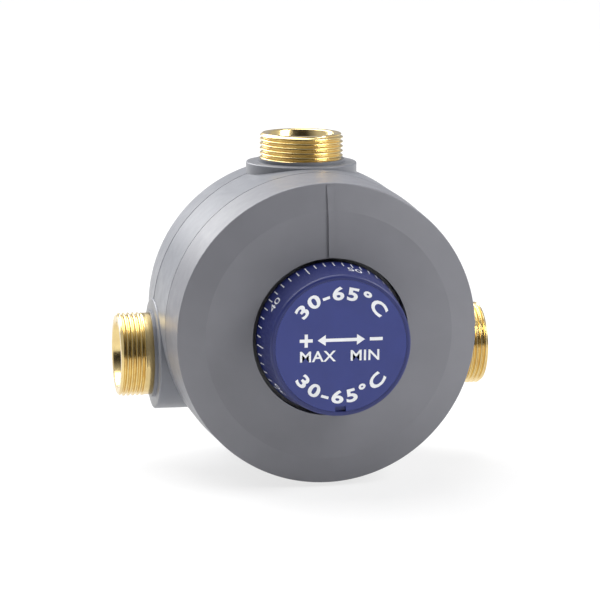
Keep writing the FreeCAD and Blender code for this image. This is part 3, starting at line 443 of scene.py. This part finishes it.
def skirt_mark(angle, start, end, width):
    """Short stroke along the skirt."""
    mesh_data = bmesh.new()
    half = width / 2 / SKIRT_BACK_RADIUS
    corners = [(angle - half, start), (angle + half, start), (angle + half, end), (angle - half, end)]
    mesh_data.faces.new([mesh_data.verts.new(on_skirt(a, b)) for a, b in corners])
    mesh = bpy.data.meshes.new("mark")
    mesh_data.to_mesh(mesh)
    mesh_data.free()
    return mesh


marks = []
for value in VALUES:
    angle = (value - REST_VALUE) * DEGREE
    end = LONG_TICK_END if value % 10 == 5 else TICK_END
    marks.append(skirt_mark(angle, TICK_START, end, TICK_WIDTH))
    if value % 10 == 0:
        marks.append(text_mesh(str(value), NUMBER_SIZE, lambda x, y, a=angle: on_skirt(
            a + x / SKIRT_BACK_RADIUS, NUMBER_PLACE - y)))
joined("skirt_scale", marks, "knob")


def on_face(across, up):
    return Vector((across, FACE - INK, up))


def on_arc(across, up, radius):
    """Place on the face for text bent round the top of a circle, or round its bottom if radius < 0."""
    angle = across / abs(radius)
    reach = radius + up
    return on_face(abs(reach) * sin(angle), reach * cos(angle))


def flat_mesh(points, place):
    """One flat face through the points, moved by place(across, up)."""
    mesh_data = bmesh.new()
    mesh_data.faces.new([mesh_data.verts.new(place(x, y)) for x, y in points])
    mesh = bpy.data.meshes.new("sign")
    mesh_data.to_mesh(mesh)
    mesh_data.free()
    return mesh


def turn_sign(place, reach, half, head):
    """Double arrow with a plus at its left and a minus at its right: anticlockwise is hotter."""
    thin = half * 0.3
    sign_start, sign_middle, sign_end, sign_half = 1.6 * head, 2.4 * head, 3.2 * head, 0.8 * head
    bars = [[(-reach, -thin), (reach, -thin), (reach, thin), (-reach, thin)]]
    for side in (-1, 1):
        tip = side * (reach + head)
        bars.append([(side * reach, -half), (tip, 0), (side * reach, half)][::side])
        start = side * (reach + sign_start)
        end = side * (reach + sign_end)
        bars.append([(start, -thin), (end, -thin), (end, thin), (start, thin)][::side])
    middle = -(reach + sign_middle)
    bars.append([(middle - thin, thin), (middle + thin, thin), (middle + thin, sign_half),
                 (middle - thin, sign_half)])
    bars.append([(middle - thin, -sign_half), (middle + thin, -sign_half), (middle + thin, -thin),
                 (middle - thin, -thin)])
    return [flat_mesh(bar, place) for bar in bars]


ARC_RADIUS = 24.8 * MM
ARC_SIZE = 8.4 * MM
ARC_WIDEN = 1.4
ARC_SPACING = 1.2
BOLD = 0.032
SIGN_RISE = 3.0 * MM
WORD_SIZE = 7.2 * MM
WORD_WIDEN = 1.1
WORD_SPACING = 1.05
WORD_REACH = 11.5 * MM
WORD_DROP = 4.9 * MM
face = [text_mesh("30-65°C", ARC_SIZE, lambda x, y, r=radius: on_arc(x * ARC_WIDEN, y, r),
                  BOLD, ARC_SPACING) for radius in (ARC_RADIUS, -ARC_RADIUS)]
face += turn_sign(lambda x, y: on_face(x, y + SIGN_RISE), reach=7.5 * MM, half=2.6 * MM,
                  head=3.9 * MM)
for word, side in (("MAX", -1), ("MIN", 1)):
    face.append(text_mesh(word, WORD_SIZE, lambda x, y, s=side: on_face(
        x * WORD_WIDEN + s * WORD_REACH, y - WORD_DROP), BOLD / 2, WORD_SPACING))
joined("face_marks", face, "knob")


# ------------------------------------------------------- floor, light, camera

FLOOR_WHITE = 0.75    # share of plain white in the floor, as the camera sees it


def show_white(tree, shader, output, share):
    """Lets the camera, and what reflects or refracts, see plain white in place of the shader."""
    white = tree.nodes.new("ShaderNodeEmission")
    white.inputs["Color"].default_value = (1, 1, 1, 1)
    white.inputs["Strength"].default_value = 1
    path = tree.nodes.new("ShaderNodeLightPath")
    total = path.outputs["Is Camera Ray"]
    for name in ("Is Glossy Ray", "Is Transmission Ray"):
        node = tree.nodes.new("ShaderNodeMath")
        node.operation = "MAXIMUM"
        tree.links.new(total, node.inputs[0])
        tree.links.new(path.outputs[name], node.inputs[1])
        total = node.outputs[0]
    part = tree.nodes.new("ShaderNodeMath")
    part.operation = "MULTIPLY"
    part.inputs[1].default_value = share
    tree.links.new(total, part.inputs[0])
    mix = tree.nodes.new("ShaderNodeMixShader")
    tree.links.new(part.outputs[0], mix.inputs[0])
    tree.links.new(shader.outputs[0], mix.inputs[1])
    tree.links.new(white.outputs[0], mix.inputs[2])
    tree.links.new(mix.outputs[0], output.inputs["Surface"])


FLOOR_REACH = 6.0
FLOOR_GAP = 0.2 * MM


def floor():
    mesh = bpy.data.meshes.new("floor")
    reach, level = FLOOR_REACH, cad_low.z - FLOOR_GAP
    mesh.from_pydata([(-reach, -reach, level), (reach, -reach, level),
                      (reach, reach, level), (-reach, reach, level)], [], [(0, 1, 2, 3)])
    sheet = bpy.data.objects.new("floor", mesh)
    bpy.context.scene.collection.objects.link(sheet)
    nodes = Nodes("floor_white")
    nodes.colour(nodes.between(nodes.spread(nodes.noise(0.3), 0, 1), (0.97, 0.97, 0.97),
                               (0.98, 0.98, 0.98)))
    nodes.fixed(Roughness=0.9, Specular_IOR_Level=0.1)
    show_white(nodes.tree, nodes.shader, nodes.tree.nodes["Material Output"], FLOOR_WHITE)
    mesh.materials.append(nodes.material)


def softbox(name, place, target, size, power):
    lamp = bpy.data.lights.new(name, "AREA")
    lamp.shape = "RECTANGLE"
    lamp.size, lamp.size_y = size
    lamp.energy = power
    holder = bpy.data.objects.new(name, lamp)
    holder.location = place
    holder.rotation_euler = (Vector(target) - Vector(place)).to_track_quat("-Z", "Y").to_euler()
    bpy.context.scene.collection.objects.link(holder)


def sun(name, towards, strength, spread):
    lamp = bpy.data.lights.new(name, "SUN")
    lamp.energy = strength
    lamp.angle = radians(spread)
    holder = bpy.data.objects.new(name, lamp)
    holder.rotation_euler = Vector(towards).to_track_quat("Z", "Y").to_euler()
    bpy.context.scene.collection.objects.link(holder)


def surround(front, side, back, ambient):
    """Soft light from all round, plain white to the camera. Glossy rays see a gradient from
    front to back, the brightest at the sides, and all others see it dimmed to ambient."""
    world = bpy.data.worlds.new("studio")
    world.use_nodes = True
    tree = world.node_tree
    way = tree.nodes.new("ShaderNodeTexCoord").outputs["Generated"]
    depth = tree.nodes.new("ShaderNodeVectorMath")
    depth.operation = "DOT_PRODUCT"
    depth.inputs[1].default_value = (0, 1, 0)
    share = tree.nodes.new("ShaderNodeMapRange")
    share.inputs["From Min"].default_value = -1
    ramp = tree.nodes.new("ShaderNodeValToRGB")
    stops = ramp.color_ramp.elements
    stops[0].position, stops[0].color = 0.16, (*front, 1)
    stops[1].position, stops[1].color = 1.0, (*back, 1)
    stops.new(0.42).color = (*side, 1)
    stops.new(0.62).color = (*side, 1)
    path = tree.nodes.new("ShaderNodeLightPath")
    strength = tree.nodes.new("ShaderNodeMapRange")
    strength.inputs["To Min"].default_value = ambient
    glow = tree.nodes["Background"]
    white = tree.nodes.new("ShaderNodeBackground")
    white.inputs["Color"].default_value = (1, 1, 1, 1)
    seen = tree.nodes.new("ShaderNodeMixShader")
    for output, target in (
            (way, depth.inputs[0]),
            (depth.outputs["Value"], share.inputs["Value"]),
            (share.outputs["Result"], ramp.inputs["Fac"]),
            (ramp.outputs["Color"], glow.inputs["Color"]),
            (path.outputs["Is Glossy Ray"], strength.inputs["Value"]),
            (strength.outputs["Result"], glow.inputs["Strength"]),
            (path.outputs["Is Camera Ray"], seen.inputs[0]),
            (glow.outputs[0], seen.inputs[1]),
            (white.outputs[0], seen.inputs[2]),
            (seen.outputs[0], tree.nodes["World Output"].inputs["Surface"])):
        tree.links.new(output, target)
    bpy.context.scene.world = world


def camera(target, azimuth, elevation, distance, lens, roll):
    """Camera round the target: azimuth 0 looks along +Y, positive from the right."""
    a, e = radians(azimuth), radians(elevation)
    back = Vector((sin(a) * cos(e), -cos(a) * cos(e), sin(e)))
    right = Vector((cos(a), sin(a), 0))
    up = back.cross(right)
    r = radians(roll)
    x_axis = right * cos(r) + up * sin(r)
    y_axis = up * cos(r) - right * sin(r)
    lens_data = bpy.data.cameras.new("camera")
    lens_data.lens = lens
    lens_data.sensor_width = 36
    lens_data.clip_start = 0.05
    holder = bpy.data.objects.new("camera", lens_data)
    spin = Matrix((x_axis, y_axis, back)).transposed().to_4x4()
    holder.matrix_world = Matrix.Translation(Vector(target) + back * distance) @ spin
    bpy.context.scene.collection.objects.link(holder)
    bpy.context.scene.camera = holder


floor()
middle = Vector((0, (cad_low.y + cad_high.y) / 2, 0))
sun("sky", towards=(-0.30, 0.45, 1.0), strength=3.5, spread=60)
softbox("key", middle + Vector((1.5, -0.95, 1.3)), middle, size=(1.0, 1.0), power=36)
softbox("left", middle + Vector((-0.9, 1.4, 0.9)), middle, size=(1.1, 1.1), power=22)
surround(front=(0.02, 0.02, 0.022), side=(0.62, 0.64, 0.68), back=(0.42, 0.43, 0.46), ambient=0.15)
camera(target=(0.0008, -0.0286, 0.0040), azimuth=-11.92, elevation=10.51, distance=1.187,
       lens=139.6, roll=0.4)

bpy.context.scene.view_settings.view_transform = "Standard"
